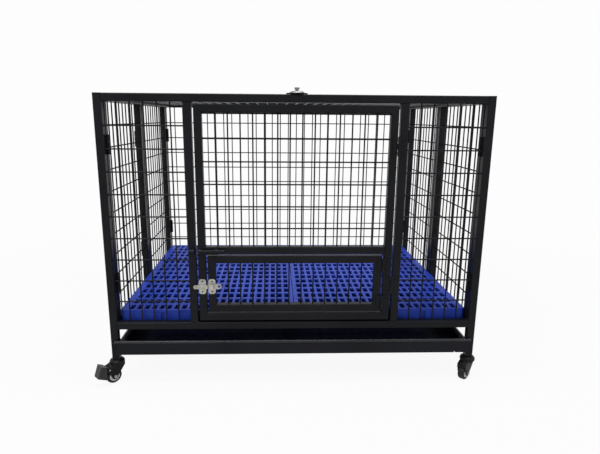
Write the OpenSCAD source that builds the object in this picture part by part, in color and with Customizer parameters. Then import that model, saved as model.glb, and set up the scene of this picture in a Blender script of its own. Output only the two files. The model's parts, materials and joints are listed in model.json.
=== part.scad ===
/* [Frame] */
// Width across the corner posts
frame_w = 940; // [860:1:1100]
// Depth across the corner posts
frame_d = 700; // [620:1:860]
// Length of a corner post with its cap
post_h = 663; // [620:1:760]
// Height of the bottom rails above the post ends
leg_h = 80; // [72:1:100]
// Side of the square tube
tube_s = 19; // [18:0.5:21]
// Wall of the square tube
tube_wall = 1.2; // [0.8:0.1:1.6]
// Outer corner radius of the square tube
tube_r = 2.5; // [1.8:0.1:4]
// Gap between a folding side panel and its neighbours
fold_gap = 2; // [1:0.1:3]
// Thickness of the cap on a post
cap_t = 1.5; // [1:0.1:3]

/* [Mesh] */
// Diameter of the mesh wire
wire_d = 3.5; // [2.5:0.1:4.5]
// Spacing aimed at between upright wires
wire_pitch = 30; // [24:1:60]
// Spacing aimed at between level wires
row_pitch = 54.5; // [45:0.5:110]
// Distance of the door's second level wire from its top rail, which the first one lies against
door_row_drop = 60; // [50:0.5:80]

/* [Door] */
// Clear width between the door jambs
doorway_w = 492; // [440:1:540]
// Gap all round the door and the feeder door
door_gap = 4.5; // [3.5:0.1:6]
// Height of the feeder door
feeder_h = 147; // [142:1:200]
// Distance of the door hinges' middles from the door's ends
door_hinge_inset = 95; // [90:1:100]
// Distance of the feeder hinges' middles from the feeder door's ends
feeder_hinge_inset = 24; // [22:0.5:26]

/* [Hinges] */
// Height of a door, lid or fold hinge
hinge_h = 46; // [40:1:50]
// Height of a feeder hinge
feeder_hinge_h = 36; // [30:1:40]
// Width of a hinge leaf from its pin
leaf_w = 14; // [11:0.5:15]
// Width of a fold hinge's leaf from its pin
fold_leaf_w = 9.5; // [8:0.1:9.6]
// Distance of the fold hinges' middles from the openings' ends
fold_hinge_inset = 100; // [60:1:140]
// Thickness of a hinge leaf
leaf_t = 2; // [1.2:0.1:2]
// Outer diameter of a hinge knuckle
knuckle_d = 7; // [6.6:0.1:7.6]
// Diameter of a hinge pin
pin_d = 3; // [2.4:0.1:3.2]

/* [Door bolt] */
// Diameter of the door's round bolt
bolt_d = 8; // [6:0.5:9]
// Travel of the door's bolt into its keeper
bolt_travel = 16; // [12:1:18]
// Length of the bolt's case
case_l = 48; // [46:1:60]
// Height of the bolt's case
case_h = 19; // [13:0.5:20]
// Height of the bolt's keeper
keeper_h = 26; // [16:0.5:30]

/* [Feeder latch] */
// Width of a latch plate
plate_w = 18; // [17:0.5:18]
// Height of a latch plate
plate_h = 39; // [32:1:44]
// Thickness of a latch plate
plate_t = 1.5; // [1:0.1:2]
// Height of the flat bolt
flat_h = 10; // [8:0.5:12]
// Thickness of the flat bolt
flat_t = 4; // [3:0.5:5]
// Travel of the flat bolt into its keeper
flat_travel = 10; // [7:0.5:10]
// Diameter of the hole in the padlock eye
eye_bore = 6.5; // [5:0.5:8]
// Reach of the padlock eye beside its plate
eye_reach = 15; // [13:0.5:18]

/* [Lid] */
// Gap round the lid
lid_gap = 3; // [2:0.1:5]
// Distance of the lid hinges from the middle
lid_hinge_x = 300; // [150:1:360]
// Width of the lid's tongue plate
tongue_w = 49; // [42:1:60]
// Thickness of the lid's tongue plate
tongue_t = 3; // [2:0.5:4]
// Diameter of the dome washer
dome_d = 36; // [28:1:40]
// Height of the dome washer
dome_h = 5; // [4:0.5:9]
// Diameter of the lid knob
knob_d = 12; // [10:0.5:16]
// Diameter of the lid knob's stud
stud_d = 6; // [5:0.5:8]

/* [Floor] */
// Height of the floor above the bottom rails
floor_rise = 25; // [20:1:34]
// Thickness of a floor tile
tile_h = 32; // [28:1:40]
// Thickness of a tile's slotted skin
skin_h = 6; // [3:0.5:10]
// Thickness of the webs under a tile's skin
web_t = 3; // [2:0.1:4]
// Gap between the floor and the side panels
tile_side_gap = 2.5; // [2.5:0.5:10]
// Gap between the floor and the front and back rails
tile_end_gap = 3; // [2:0.5:5]
// Gap at the seam between the floor tiles
tile_seam = 1; // [0.5:0.1:2]
// Spacing aimed at between rows of slots, across
slot_pitch_x = 19.6; // [16:0.1:40]
// Spacing aimed at between rows of slots, front to back
slot_pitch_y = 41; // [30:0.5:60]
// Width of the rib between slots, across
rib_x = 7; // [4:0.5:9]
// Width of the rib between slots, front to back
rib_y = 12; // [6:0.5:14]
// Plain border at a tile's front and back
tile_border = 9; // [7:0.5:12]
// Plain border at a tile's outer side
side_border = 20; // [14:0.5:24]
// Plain border at the seam between the tiles
seam_border = 12; // [8:0.5:16]
// Radius of a tile's corners
tile_r = 12; // [11:0.5:16]

/* [Tray] */
// Height of the tray above its runners
tray_h = 34.5; // [24:0.5:38]
// Thickness of the tray's sheet
tray_t = 1.2; // [0.8:0.1:2]
// Gap between the tray and the corner posts
tray_gap = 10; // [8:0.5:14]
// Diameter of the tray's rolled rim
rim_d = 7; // [5:0.5:8]
// Overlap of the tray's front lip on the posts
lip_lap = 5; // [2:0.5:9]
// Height of the runners above the post ends
runner_z = 13; // [8:0.5:18]
// Leg of the angle that makes the runners
runner_w = 20; // [16:0.5:24]
// Thickness of the runners
runner_t = 2; // [1.5:0.1:3]

/* [Casters] */
// Height of a caster under its post
caster_h = 65; // [64:0.5:72]
// Diameter of a wheel
wheel_d = 40; // [36:0.5:41]
// Width of a tyre
wheel_w = 17; // [14:0.5:20]
// Diameter of a wheel's hub
hub_d = 26; // [20:0.5:28]
// Distance of the wheel's axle behind the swivel
trail = 13; // [11:0.5:14]
// Diameter of the wheel's axle
axle_d = 5; // [4:0.5:6]
// Diameter of the swivel stem
stem_d = 8; // [7:0.5:9]
// Diameter of the dust cap over the fork
dust_cap_d = 38; // [36:0.5:42]
// Turn of the front casters, and half a turn more at the back
caster_turn = -48; // [-60:1:-30]

/* [Hidden] */
$fn = 32;
black = "#1b1c20";
zinc = "#c4c4bc";
blue = "#3f50a8";
grey = "#9a9c9e";
// One overrun for all cuts
over = 1;
// Root gap left between welded tubes, and between crossing wires
weld_gap = 0.1;
// Steps in a tube's rounded corner
corner_steps = 3;
half_w = frame_w / 2;
half_d = frame_d / 2;
in_w = half_w - tube_s;
in_d = half_d - tube_s;
post_z = caster_h;
top_z = post_z + post_h;
rail_z = post_z + leg_h;
open_z0 = rail_z + tube_s;
open_z1 = top_z - tube_s;
open_h = open_z1 - open_z0;
post_x = half_w - tube_s / 2;
post_y = half_d - tube_s / 2;
layer = (wire_d + weld_gap) / 2;
// Folding side panels
panel_l = (2 * in_d - 3 * fold_gap) / 2;
panel_h = top_z - rail_z;
// Post caps and caster sockets fit the tube's bore
plug_gap = 0.15;
plug_h = 12;
plug_s = tube_s - 2 * tube_wall - 2 * plug_gap;
plug_r = tube_r - tube_wall;
// Door and feeder door
door_w = doorway_w - 2 * door_gap;
door_h = open_h - 2 * door_gap;
door_z = open_z0 + door_gap;
door_in_w = door_w - 2 * tube_s;
feeder_w = door_in_w - 2 * door_gap;
feeder_z = door_z + tube_s + door_gap;
mid_rail_z = feeder_z + feeder_h + door_gap;
door_open_z = mid_rail_z + tube_s;
door_open_h = door_z + door_h - tube_s - door_open_z;
// Hinges: the pin stands in front of the faces that the leaves lie on
knuckle_clear = 0.3;
knuckle_gap = 0.4;
pin_play = 0.05;
pin_head_d = 5.2;
pin_head_h = 1.2;
hinge_off = knuckle_d / 2 + knuckle_clear;
leaf_x0 = knuckle_d / 2 + knuckle_gap;
door_hinge_axis_x = doorway_w / 2 - door_gap / 2;
feeder_hinge_axis_x = feeder_w / 2 + door_gap / 2;
hinge_axis_y = -half_d - hinge_off;
door_hinge_zs = [door_z + door_hinge_inset, door_z + door_h - door_hinge_inset];
feeder_hinge_zs = [feeder_z + feeder_hinge_inset, feeder_z + feeder_h - feeder_hinge_inset];
fold_hinge_zs = [open_z0 + fold_hinge_inset, open_z1 - fold_hinge_inset];
lid_hinge_y = in_d - lid_gap / 2;
lid_hinge_z = top_z + hinge_off;
// Round bolt of the door, on the middle rail's left end
bolt_play = 0.3;
guide_wall = 1.5;
guide_l = 8;
bolt_z = mid_rail_z + tube_s / 2;
bolt_bore = bolt_d + 2 * bolt_play;
guide_d = bolt_bore + 2 * guide_wall;
bolt_rise = 0.5;
bolt_y = -half_d - leaf_t - bolt_bore / 2 - bolt_rise;
case_edge = 3;
case_x0 = -door_w / 2 + case_edge;
bolt_tip_x = -door_w / 2 + bolt_play;
bolt_l = case_l + case_edge + bolt_travel - bolt_play;
bolt_grip_x = case_x0 + case_l - guide_l - bolt_d;
bolt_grip_d = 6;
bolt_grip_l = 13;
keeper_l = 12;
keeper_rise = 5;
keeper_x0 = -doorway_w / 2 - keeper_l - case_edge;
// Flat bolt of the feeder door
latch_drop = 5;
latch_z = feeder_z + feeder_h / 2 - latch_drop;
latch_play = 0.3;
strap_wall = 1.5;
strap_w = 8.3;
strap_foot_t = 1.2;
strap_foot_h = 22;
plate_r = 6;
plate_screw_d = 3.6;
strap_h = flat_h + 2 * latch_play + 2 * strap_wall;
strap_y = flat_t + 2 * latch_play + strap_wall;
plate_x = door_w / 2 - tube_s / 2;
keep_plate_x = feeder_w / 2 - tube_s / 2;
flat_tip_x = -feeder_w / 2 - latch_play - bolt_rise;
flat_y = -half_d - plate_t - latch_play - flat_t / 2;
flat_knob_d = 5.5;
flat_knob_l = 8;
flat_knob_x = -plate_x - strap_w / 2 - flat_travel - flat_knob_d / 2 - latch_play;
flat_l = flat_tip_x - flat_knob_x;
eye_h = 13;
eye_t = 2;
// Lid
lid_w = 2 * in_w - 2 * lid_gap;
lid_d = 2 * in_d - 2 * lid_gap;
lid_z = top_z - tube_s / 2;
tongue_lap = 16;
tongue_y0 = -half_d + tube_s - tongue_lap;
tongue_y1 = -in_d + lid_gap + tube_s;
stud_play = 0.5;
stud_y = -post_y;
stud_reach = 7;
knob_neck_d = 7.5;
knob_neck_h = 3.2;
knob_head_h = 4;
dome_steps = 8;
dome_seat = 0.2;
// Floor
tile_top = open_z0 + floor_rise;
tile_z = tile_top - tile_h;
tile_w = in_w - tile_side_gap - tile_seam / 2;
tile_l = 2 * (in_d - tile_end_gap);
slots_span = tile_w - side_border - seam_border + rib_x;
slots_x = 2 * round(slots_span / slot_pitch_x / 2);
slots_y = round((tile_l - 2 * tile_border + rib_y) / slot_pitch_y);
slot_step_x = slots_span / slots_x;
slot_step_y = (tile_l - 2 * tile_border + rib_y) / slots_y;
seam_r = 3;
notch_w = 10;
notch_d = 4;
notch_x_share = 0.757;
ledge_t = 3;
ledge_w = 12;
ledge_l = 2 * (in_w - tile_side_gap);
// Tray on its runners
tray_lift = 0.3;
tray_z = post_z + runner_z + tray_lift;
tray_half = in_w - tray_gap;
tray_back = in_d - tray_gap;
lip_clear = 0.5;
blob_share = 1.18;
blob_r = rim_d * blob_share / 2;
lip_y = -half_d - blob_r - lip_clear;
lip_half = in_w + lip_lap;
rim_z = tray_z + tray_h;
side_rim_share = 0.92;
slit_w = 3.5;
slit_h = 13;
slit_x_share = 0.919;
slit_back = 8;
// Casters, drawn with the swivel on the Z axis and the wheel towards -Y
flange_t = 2;
swivel_gap = 0.6;
stem_play = 0.05;
axle_play = 0.05;
wheel_gap = 0.8;
wheel_r = wheel_d / 2;
cap_top = caster_h - flange_t - swivel_gap;
cap_skirt_h = 4;
cap_crown_h = 6.4;
cap_crown_share = 0.5;
core_share = 0.8;
core_drop = 6;
skirt_z = cap_top - cap_crown_h - cap_skirt_h;
core_z = skirt_z - core_drop;
stem_head_d = 13;
stem_head_h = 3;
cheek_t = 2.5;
fork_w = wheel_w + 2 * wheel_gap + 2 * cheek_t;
boss_r = 8;
pocket_r = wheel_r + 2;
axle_head_d = 8;
axle_head_h = 3;
ring_rise = 0.3;
hub_dish = 2;
tyre_gap = 0.05;
tyre_round = 4;
pedal_pin_d = 4;
pedal_r = 4.4;
ear_r = 6;
pedal_gap = 0.6;
pedal_wide = 6;
pedal_wall = 2.5;
// Places on the brake in wheel radii from the axle, outwards and up: the pivot, and the outlines of the foot
// plate, of the hollow behind it and of the arm that carries it
pivot_shares = [0.65, 1.1];
foot_shares = [[1.03, 1.55], [1.7, 1.9], [2.22, 0.4], [1.06, -0.18], [1.07, 0], [1.02, 0.33], [1.03, 0.65]];
hollow_shares = [[0.95, 1.37], [1.62, 1.7], [2.05, 0.44], [1.3, 0.02], [0.95, 0.02]];
arm_shares = [[0.6, 1.29], [1.05, 1.54], [1.25, 1.52], [1.05, 1.2], [0.78, 0.93], [0.6, 0.92]];
pedal_y = -trail - wheel_r * pivot_shares[0];
pedal_z = wheel_r + wheel_r * pivot_shares[1];

// Points of one rounded corner of a rectangle, numbered round from +X +Y
function round_corner(w, h, r, c) = let (sx = (c == 0 || c == 3) ? 1 : -1, sy = c < 2 ? 1 : -1)
  [for (k = [0 : corner_steps]) let (a = 90 * (c + k / corner_steps))
    [sx * (w / 2 - r) + r * cos(a), sy * (h / 2 - r) + r * sin(a)]];

// Points of a rectangle with rounded corners
function round_box(w, h, r) = [for (c = [0 : 3]) each round_corner(w, h, r, c)];

// Heights of the level wires in an opening
function rows(h, pitch) = let (n = max(1, round(h / pitch))) [for (k = [1 : 1 : n - 1]) k * h / n];

// Section of the square tube
module tube_section() {
  outer = round_box(tube_s, tube_s, tube_r);
  bore = tube_s - 2 * tube_wall;
  inner = round_box(bore, bore, tube_r - tube_wall);
  n = len(outer);
  polygon(concat(outer, inner), [[for (i = [0 : n - 1]) i], [for (i = [0 : n - 1]) n + i]]);
}

module tube_x(p, l) translate(p) rotate([90, 0, 90]) linear_extrude(height = l) tube_section();
module tube_y(p, l) translate(p) rotate([-90, 0, 0]) linear_extrude(height = l) tube_section();
module tube_z(p, l) translate(p) linear_extrude(height = l) tube_section();

// One side of a mitred frame along X, its outer edge on z = 0
module mitred(l) {
  intersection() {
    tube_x([0, 0, tube_s / 2], l);
    translate([0, tube_s / 2 + over, 0]) rotate([90, 0, 0]) linear_extrude(height = tube_s + 2 * over)
      polygon([[weld_gap, 0], [l - weld_gap, 0], [l - tube_s - weld_gap, tube_s],
        [tube_s + weld_gap, tube_s]]);
  }
}

// Frame of four mitred tubes, lower left corner at the origin, in the XZ plane
module mitred_frame(w, h) {
  mitred(w);
  translate([w, 0, h]) rotate([0, 180, 0]) mitred(w);
  translate([0, 0, h]) rotate([0, 90, 0]) mitred(h);
  translate([w, 0, 0]) rotate([0, -90, 0]) mitred(h);
}

// Wires across an opening, lower left corner at the origin, level wires towards -Y
module mesh(w, h, zs) {
  n = max(1, round(w / wire_pitch));
  for (i = [1 : 1 : n - 1]) translate([i * w / n, layer, 0]) cylinder(d = wire_d, h = h);
  for (z = zs) translate([0, -layer, z]) rotate([0, 90, 0]) cylinder(d = wire_d, h = w);
}

// Half a butt hinge of width w on the Z axis; its face lies at y = hinge_off; end knuckles or the middle one
module leaf(side, h, ends, w) {
  third = h / 3;
  cut = knuckle_gap / 2;
  spans = ends ? [[-h / 2, third - cut], [h / 2 - third + cut, third - cut]]
    : [[-third / 2 + cut, third - 2 * cut]];
  difference() {
    union() {
      translate([side > 0 ? leaf_x0 : -w, hinge_off - leaf_t, -h / 2]) cube([w - leaf_x0, leaf_t, h]);
      for (s = spans) {
        translate([0, 0, s[0]]) cylinder(d = knuckle_d, h = s[1]);
        translate([side > 0 ? 0 : -leaf_x0, hinge_off - leaf_t, s[0]]) cube([leaf_x0, leaf_t, s[1]]);
      }
    }
    translate([0, 0, -h / 2 - over]) cylinder(r = pin_d / 2 + pin_play, h = h + 2 * over);
  }
}

// Hinge pin with its head
module pin(h) {
  translate([0, 0, -h / 2]) cylinder(d = pin_d, h = h);
  translate([0, 0, h / 2]) cylinder(d = pin_head_d, h = pin_head_h);
}

// Turns a hinge about Z to lie along X with its face down
module lie_along_x() multmatrix([[0, 0, -1, 0], [1, 0, 0, 0], [0, -1, 0, 0], [0, 0, 0, 1]]) children();

// Places of the fold hinges: at the posts inside, at the panels' seam outside
module at_fold_hinges() {
  for (z = fold_hinge_zs) {
    for (sx = [-1, 1]) {
      for (y = [-in_d + fold_gap / 2, in_d - fold_gap / 2])
        translate([sx * (in_w - hinge_off), y, z]) rotate([0, 0, -90 * sx]) children();
      translate([sx * (half_w + hinge_off), 0, z]) rotate([0, 0, 90 * sx]) children();
    }
  }
}

module at_door_hinges() for (z = door_hinge_zs) translate([door_hinge_axis_x, hinge_axis_y, z]) children();
module at_feeder_hinges() for (z = feeder_hinge_zs)
  translate([feeder_hinge_axis_x, hinge_axis_y, z]) children();
module at_lid_hinges() for (sx = [-1, 1]) translate([sx * lid_hinge_x, lid_hinge_y, lid_hinge_z])
  lie_along_x() children();

module front_frame() {
  color(black) difference() {
    union() {
      for (sx = [-1, 1]) {
        tube_z([sx * post_x, -post_y, post_z], post_h - cap_t);
        tube_z([sx * (doorway_w + tube_s) / 2, -post_y, open_z0 + weld_gap], open_h - 2 * weld_gap);
      }
      for (z = [rail_z, open_z1]) tube_x([-in_w + weld_gap, -post_y, z + tube_s / 2], 2 * (in_w - weld_gap));
    }
    translate([0, stud_y, top_z - tube_wall - over])
      cylinder(r = stud_d / 2 + stud_play, h = tube_wall + 2 * over);
  }
}

module front_mesh() {
  w = in_w - doorway_w / 2 - tube_s;
  color(black) for (x = [-in_w, in_w - w]) translate([x, -post_y, open_z0])
    mesh(w, open_h, rows(open_h, row_pitch));
}

module back_frame() {
  color(black) {
    for (sx = [-1, 1]) tube_z([sx * post_x, post_y, post_z], post_h - cap_t);
    for (z = [rail_z, open_z1]) tube_x([-in_w + weld_gap, post_y, z + tube_s / 2], 2 * (in_w - weld_gap));
  }
}

module back_mesh() {
  color(black) translate([in_w, post_y, open_z0]) rotate([0, 0, 180])
    mesh(2 * in_w, open_h, rows(open_h, row_pitch));
}

// Tube frame of one folding side panel
module panel(sx, y0) {
  color(black) {
    for (y = [y0 + tube_s / 2, y0 + panel_l - tube_s / 2]) tube_z([sx * post_x, y, rail_z], panel_h);
    for (z = [rail_z, open_z1])
      tube_y([sx * post_x, y0 + tube_s + weld_gap, z + tube_s / 2], panel_l - 2 * tube_s - 2 * weld_gap);
  }
}

panel_y0s = [-in_d + fold_gap, fold_gap / 2];
module left_front_panel() panel(-1, panel_y0s[0]);
module left_rear_panel() panel(-1, panel_y0s[1]);
module right_front_panel() panel(1, panel_y0s[0]);
module right_rear_panel() panel(1, panel_y0s[1]);

// Wires of both panels on one side
module side_mesh(sx) {
  w = panel_l - 2 * tube_s;
  color(black) for (y0 = panel_y0s) translate([sx * post_x, y0 + tube_s + (sx > 0 ? 0 : w), open_z0])
    rotate([0, 0, 90 * sx]) mesh(w, open_h, rows(open_h, row_pitch));
}

module left_mesh() side_mesh(-1);
module right_mesh() side_mesh(1);

module fold_hinge_leaves() {
  color(black) at_fold_hinges() {
    leaf(1, hinge_h, true, fold_leaf_w);
    leaf(-1, hinge_h, false, fold_leaf_w);
  }
}

module hinge_pins() {
  color(black) {
    at_fold_hinges() pin(hinge_h);
    at_door_hinges() pin(hinge_h);
    at_lid_hinges() pin(hinge_h);
  }
}

module post_caps() {
  color(black) for (sx = [-1, 1], sy = [-1, 1]) translate([sx * post_x, sy * post_y, top_z - cap_t]) {
    linear_extrude(height = cap_t) polygon(round_box(tube_s, tube_s, tube_r));
    translate([0, 0, -plug_h]) linear_extrude(height = plug_h) polygon(round_box(plug_s, plug_s, plug_r));
  }
}

module floor_supports() {
  color(black) {
    for (y = [-in_d, in_d - ledge_w]) translate([-ledge_l / 2, y, tile_z - ledge_t])
      cube([ledge_l, ledge_w, ledge_t]);
    tube_y([0, -in_d + ledge_w + weld_gap, tile_z - tube_s / 2], 2 * (in_d - ledge_w - weld_gap));
  }
}

module tray_runners() {
  color(black) for (sx = [-1, 1]) translate([sx * in_w, half_d, post_z + runner_z]) rotate([90, 0, 0])
    linear_extrude(height = frame_d) scale([sx, 1])
      polygon([[0, -runner_t], [0, runner_w - runner_t], [-runner_t, runner_w - runner_t], [-runner_t, 0],
        [-runner_w, 0], [-runner_w, -runner_t]]);
}

module door_hinge_leaves() color(black) at_door_hinges() leaf(1, hinge_h, true, leaf_w);
module door_hinge_straps() color(black) at_door_hinges() leaf(-1, hinge_h, false, leaf_w);
module lid_hinge_leaves() color(black) at_lid_hinges() leaf(1, hinge_h, true, leaf_w);
module lid_hinge_straps() color(black) at_lid_hinges() leaf(-1, hinge_h, false, leaf_w);
module feeder_hinge_leaves() color(black) at_feeder_hinges() leaf(1, feeder_hinge_h, true, leaf_w);
module feeder_hinge_straps() color(black) at_feeder_hinges() leaf(-1, feeder_hinge_h, false, leaf_w);
module feeder_hinge_pins() color(black) at_feeder_hinges() pin(feeder_hinge_h);

// Plate from height z0 with round guides at the places xs, bored for the door's bolt
module bolt_guides(x0, l, z0, h, xs, gl) {
  difference() {
    union() {
      translate([x0, -half_d - leaf_t, z0]) cube([l, leaf_t, h]);
      for (x = xs) {
        translate([x, bolt_y, bolt_z]) rotate([0, 90, 0]) cylinder(d = guide_d, h = gl);
        translate([x, bolt_y, bolt_z - guide_d / 2]) cube([gl, -half_d - bolt_y, guide_d]);
      }
    }
    translate([x0 - over, bolt_y, bolt_z]) rotate([0, 90, 0]) cylinder(d = bolt_bore, h = l + 2 * over);
  }
}

module door_bolt_case() {
  xs = [case_x0, case_x0 + case_l - guide_l];
  color(black) bolt_guides(case_x0, case_l, bolt_z - case_h / 2, case_h, xs, guide_l);
}

module door_keeper() {
  z0 = bolt_z + keeper_rise - keeper_h / 2;
  color(black) bolt_guides(keeper_x0, keeper_l, z0, keeper_h, [keeper_x0], keeper_l);
}

module door_bolt() {
  color(black) {
    translate([bolt_tip_x, bolt_y, bolt_z]) rotate([0, 90, 0]) cylinder(d = bolt_d, h = bolt_l);
    translate([bolt_grip_x, bolt_y, bolt_z]) rotate([90, 0, 0]) cylinder(d = bolt_grip_d, h = bolt_grip_l);
  }
}

module door_frame() {
  color(black) {
    translate([-door_w / 2, -post_y, door_z]) mitred_frame(door_w, door_h);
    tube_x([-door_in_w / 2 + weld_gap, -post_y, mid_rail_z + tube_s / 2], door_in_w - 2 * weld_gap);
  }
}

module door_mesh() {
  zs = concat([door_open_h - wire_d / 2 - weld_gap],
    [for (z = [door_open_h - door_row_drop : -row_pitch : row_pitch / 2]) z]);
  color(black) translate([-door_in_w / 2, -post_y, door_open_z]) mesh(door_in_w, door_open_h, zs);
}

module feeder_frame() color(black) translate([-feeder_w / 2, -post_y, feeder_z])
  mitred_frame(feeder_w, feeder_h);

module feeder_mesh() {
  w = feeder_w - 2 * tube_s;
  color(black) translate([-w / 2, -post_y, feeder_z + tube_s]) mesh(w, feeder_h - 2 * tube_s, []);
}

// Latch plate with a strap that the flat bolt slides under
module latch_plate(x) {
  difference() {
    union() {
      translate([x, -half_d, latch_z]) rotate([90, 0, 0]) linear_extrude(height = plate_t)
        polygon(round_box(plate_w, plate_h, plate_r));
      translate([x - strap_w / 2, -half_d - plate_t - strap_y, latch_z - strap_h / 2])
        cube([strap_w, plate_t + strap_y, strap_h]);
      translate([x - strap_w / 2, -half_d - plate_t - strap_foot_t, latch_z - strap_foot_h / 2])
        cube([strap_w, plate_t + strap_foot_t, strap_foot_h]);
    }
    for (s = [-1, 1]) translate([x, -half_d + over, latch_z + s * (plate_h / 2 - plate_r)]) rotate([90, 0, 0])
      cylinder(d = plate_screw_d, h = plate_t + 2 * over);
    translate([x - plate_w / 2 - over, flat_y - flat_t / 2 - latch_play, latch_z - flat_h / 2 - latch_play])
      cube([plate_w + 2 * over, flat_t + 2 * latch_play, flat_h + 2 * latch_play]);
  }
}

module feeder_latch_guide() color(zinc) latch_plate(-plate_x);

module feeder_latch_keeper() {
  edge = -keep_plate_x + plate_w / 2;
  bore_x = edge + eye_reach - eye_h / 2;
  color(zinc) {
    latch_plate(-keep_plate_x);
    difference() {
      union() {
        translate([edge - plate_t, -half_d - eye_t, latch_z - eye_h / 2])
          cube([bore_x - edge + plate_t, eye_t, eye_h]);
        translate([bore_x, -half_d, latch_z]) rotate([90, 0, 0]) cylinder(d = eye_h, h = eye_t);
      }
      translate([bore_x, -half_d + over, latch_z]) rotate([90, 0, 0])
        cylinder(d = eye_bore, h = eye_t + 2 * over);
      translate([-keep_plate_x - plate_w, -half_d - eye_t - over, latch_z - plate_h / 2])
        cube([plate_w + plate_w / 2 - plate_t, eye_t + 2 * over, plate_h]);
    }
  }
}

module feeder_bolt() {
  color(zinc) {
    translate([flat_knob_x, flat_y - flat_t / 2, latch_z - flat_h / 2]) cube([flat_l, flat_t, flat_h]);
    translate([flat_knob_x, flat_y, latch_z]) rotate([90, 0, 0]) {
      translate([0, 0, -flat_t / 2]) cylinder(d = flat_h, h = flat_t);
      cylinder(d = flat_knob_d, h = flat_knob_l);
    }
  }
}

// Lies a drawing in the XZ plane down flat, its front towards +Z
module lie_flat() rotate([-90, 0, 0]) children();

module lid_frame() {
  color(black) translate([-lid_w / 2, -lid_d / 2, lid_z]) lie_flat() mitred_frame(lid_w, lid_d);
}

module lid_mesh() {
  w = lid_w - 2 * tube_s;
  d = lid_d - 2 * tube_s;
  color(black) translate([-w / 2, -d / 2, lid_z]) lie_flat() mesh(w, d, rows(d, row_pitch));
}

module lid_tongue() {
  color(black) difference() {
    translate([-tongue_w / 2, tongue_y0, top_z]) cube([tongue_w, tongue_y1 - tongue_y0, tongue_t]);
    translate([0, stud_y, top_z - over]) cylinder(r = stud_d / 2 + stud_play, h = tongue_t + 2 * over);
  }
}

module lid_dome() {
  r0 = stud_d / 2 + stud_play;
  arc = [for (k = [0 : dome_steps]) let (a = 90 * k / dome_steps)
    [r0 + (dome_d / 2 - r0) * cos(a), dome_h * sin(a)]];
  color(zinc) translate([0, stud_y, top_z + tongue_t]) rotate_extrude() polygon(concat([[r0, 0]], arc));
}

module lid_knob() {
  seat = top_z + tongue_t + dome_h + dome_seat;
  color(zinc) translate([0, stud_y, 0]) {
    translate([0, 0, top_z - stud_reach]) cylinder(d = stud_d, h = seat - top_z + stud_reach + knob_neck_h);
    translate([0, 0, seat]) cylinder(d = knob_neck_d, h = knob_neck_h);
    translate([0, 0, seat + knob_neck_h]) cylinder(d = knob_d, h = knob_head_h);
  }
}

module tray() {
  wall_h = rim_z - tray_z;
  floor_l = tray_back - lip_y;
  color(black) difference() {
    union() {
      difference() {
        translate([-tray_half, lip_y, tray_z]) cube([2 * tray_half, floor_l, wall_h]);
        translate([-tray_half + tray_t, lip_y - over, tray_z + tray_t])
          cube([2 * (tray_half - tray_t), floor_l - tray_t + over, wall_h]);
      }
      translate([-lip_half, lip_y - tray_t / 2, tray_z]) cube([2 * lip_half, tray_t, wall_h]);
      translate([-lip_half, lip_y, rim_z]) rotate([0, 90, 0]) cylinder(d = rim_d, h = 2 * lip_half);
      for (sx = [-1, 1]) {
        translate([sx * lip_half, lip_y, rim_z]) rotate([0, 90, 0]) rotate_extrude()
          polygon([for (a = [-90 : 30 : 90]) blob_r * [cos(a), sin(a)]]);
        translate([sx * (tray_half - tray_t / 2), lip_y, rim_z]) rotate([-90, 0, 0])
          cylinder(d = rim_d * side_rim_share, h = floor_l - tray_t / 2);
        translate([sx * (tray_half - tray_t / 2), tray_back - tray_t / 2, rim_z]) sphere(r = blob_r);
      }
      translate([-tray_half + tray_t / 2, tray_back - tray_t / 2, rim_z]) rotate([0, 90, 0])
        cylinder(d = rim_d * side_rim_share, h = 2 * tray_half - tray_t);
    }
    translate([lip_half * slit_x_share, lip_y + slit_back, tray_z]) rotate([90, 0, 0])
      linear_extrude(height = slit_back + tray_t)
      polygon([[-slit_w / 2, -over], [slit_w / 2, -over], [slit_w / 2, 0], [0, slit_h], [-slit_w / 2, 0]]);
  }
}

// Outline of a floor tile, drawn from the seam outwards along +X, plain or with its front and back pockets
module tile_outline(pockets) {
  difference() {
    translate([tile_w / 2, tile_l / 2])
      polygon([for (c = [0 : 3]) each round_corner(tile_w, tile_l, (c == 0 || c == 3) ? tile_r : seam_r, c)]);
    if (pockets) for (y = [-over, tile_l - notch_d]) translate([tile_w * notch_x_share - notch_w / 2, y])
      square([notch_w, notch_d + over]);
  }
}

// Floor tile: a slotted skin on webs, with two rows of slots over each cell between the webs
module tile() {
  x0 = seam_border - rib_x / 2;
  y0 = tile_border - rib_y / 2;
  linear_extrude(height = tile_h - skin_h) difference() {
    tile_outline(true);
    for (i = [0 : slots_x / 2 - 1], j = [0 : slots_y - 1])
      translate([x0 + 2 * i * slot_step_x + web_t / 2, y0 + j * slot_step_y + web_t / 2])
        square([2 * slot_step_x - web_t, slot_step_y - web_t]);
  }
  translate([0, 0, tile_h - skin_h]) linear_extrude(height = skin_h) difference() {
    tile_outline(false);
    for (i = [0 : slots_x - 1], j = [0 : slots_y - 1])
      translate([x0 + i * slot_step_x + rib_x / 2, y0 + j * slot_step_y + rib_y / 2])
        square([slot_step_x - rib_x, slot_step_y - rib_y]);
  }
}

module floor_tile_right() color(blue) translate([tile_seam / 2, -tile_l / 2, tile_z]) tile();
module floor_tile_left() color(blue) translate([-tile_seam / 2, tile_l / 2, tile_z])
  rotate([0, 0, 180]) tile();

// Casters: side, turn and whether there is a brake
module at_caster(sx, sy) translate([sx * post_x, sy * post_y, 0])
  rotate([0, 0, caster_turn + (sy > 0 ? 180 : 0)]) children();

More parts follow.
